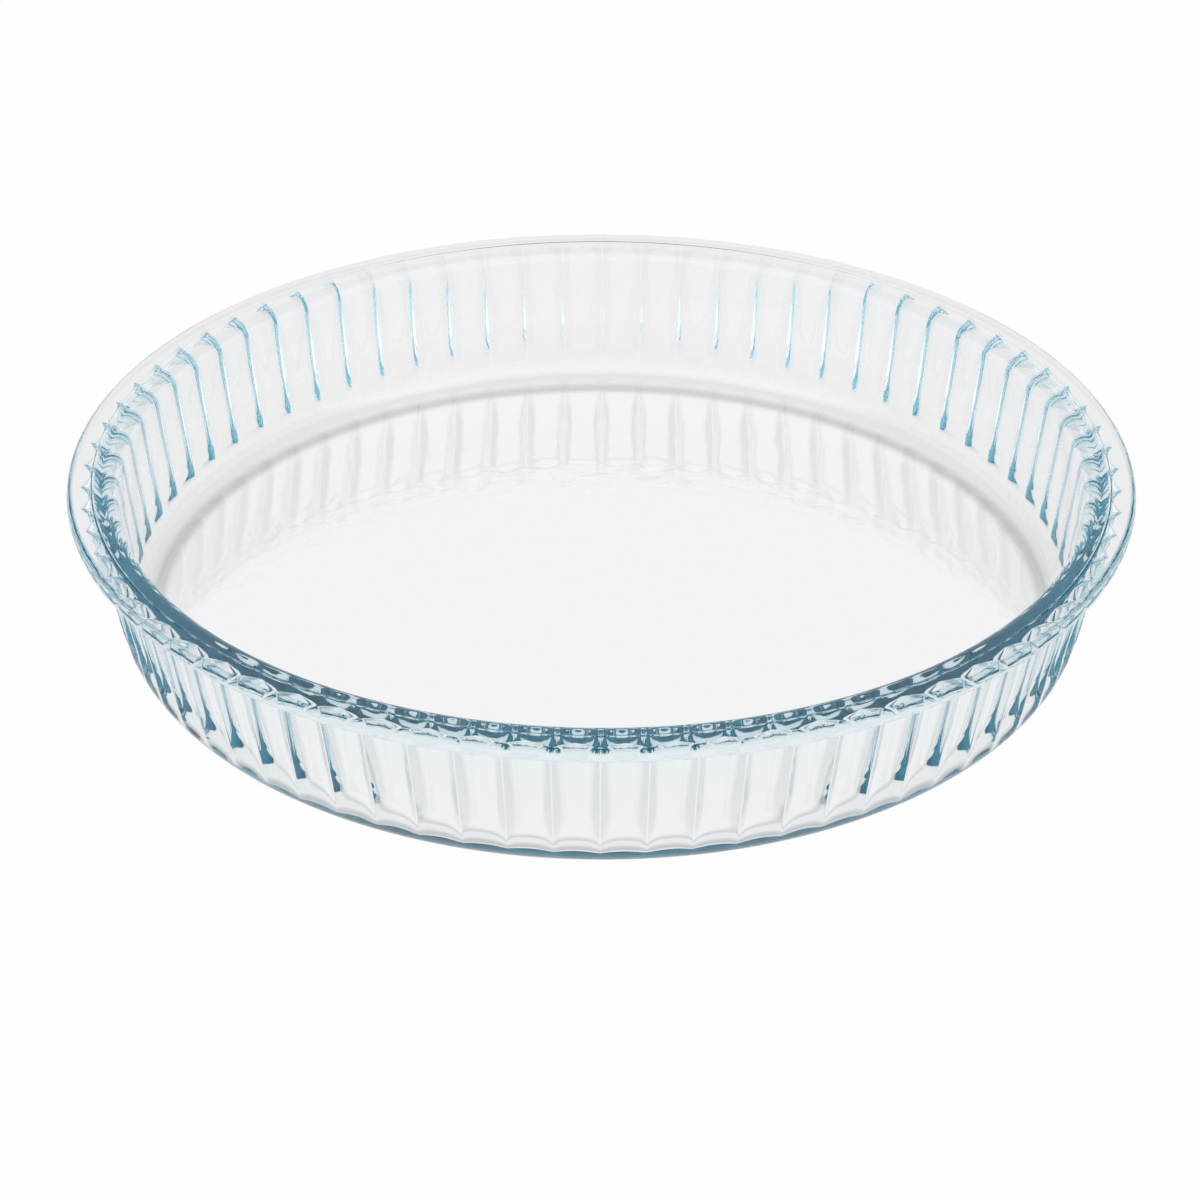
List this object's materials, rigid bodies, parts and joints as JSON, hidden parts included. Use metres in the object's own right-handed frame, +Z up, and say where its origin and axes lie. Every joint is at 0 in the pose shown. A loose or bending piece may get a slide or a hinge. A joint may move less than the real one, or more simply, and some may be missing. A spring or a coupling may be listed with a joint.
{
  "type": "fluted glass flan dish",
  "caption": "Round shallow baking dish of clear blue-green tinted glass, with a fluted leaning wall, a smooth inside, a flat floor and a level rim.",
  "frame": {"origin": "centre of the flat base, on the surface the dish stands on", "axes": "+Z up along the axis of the dish, -Y towards a ridge between two flutes"},
  "size_m": [0.28, 0.28, 0.044],
  "materials": {
    "glass": "clear fire-polished glass with a faint blue-green tint that shows in thick sections"
  },
  "bodies": {
    "root": {"glass_dish": "glass"}
  },
  "joints": []
}
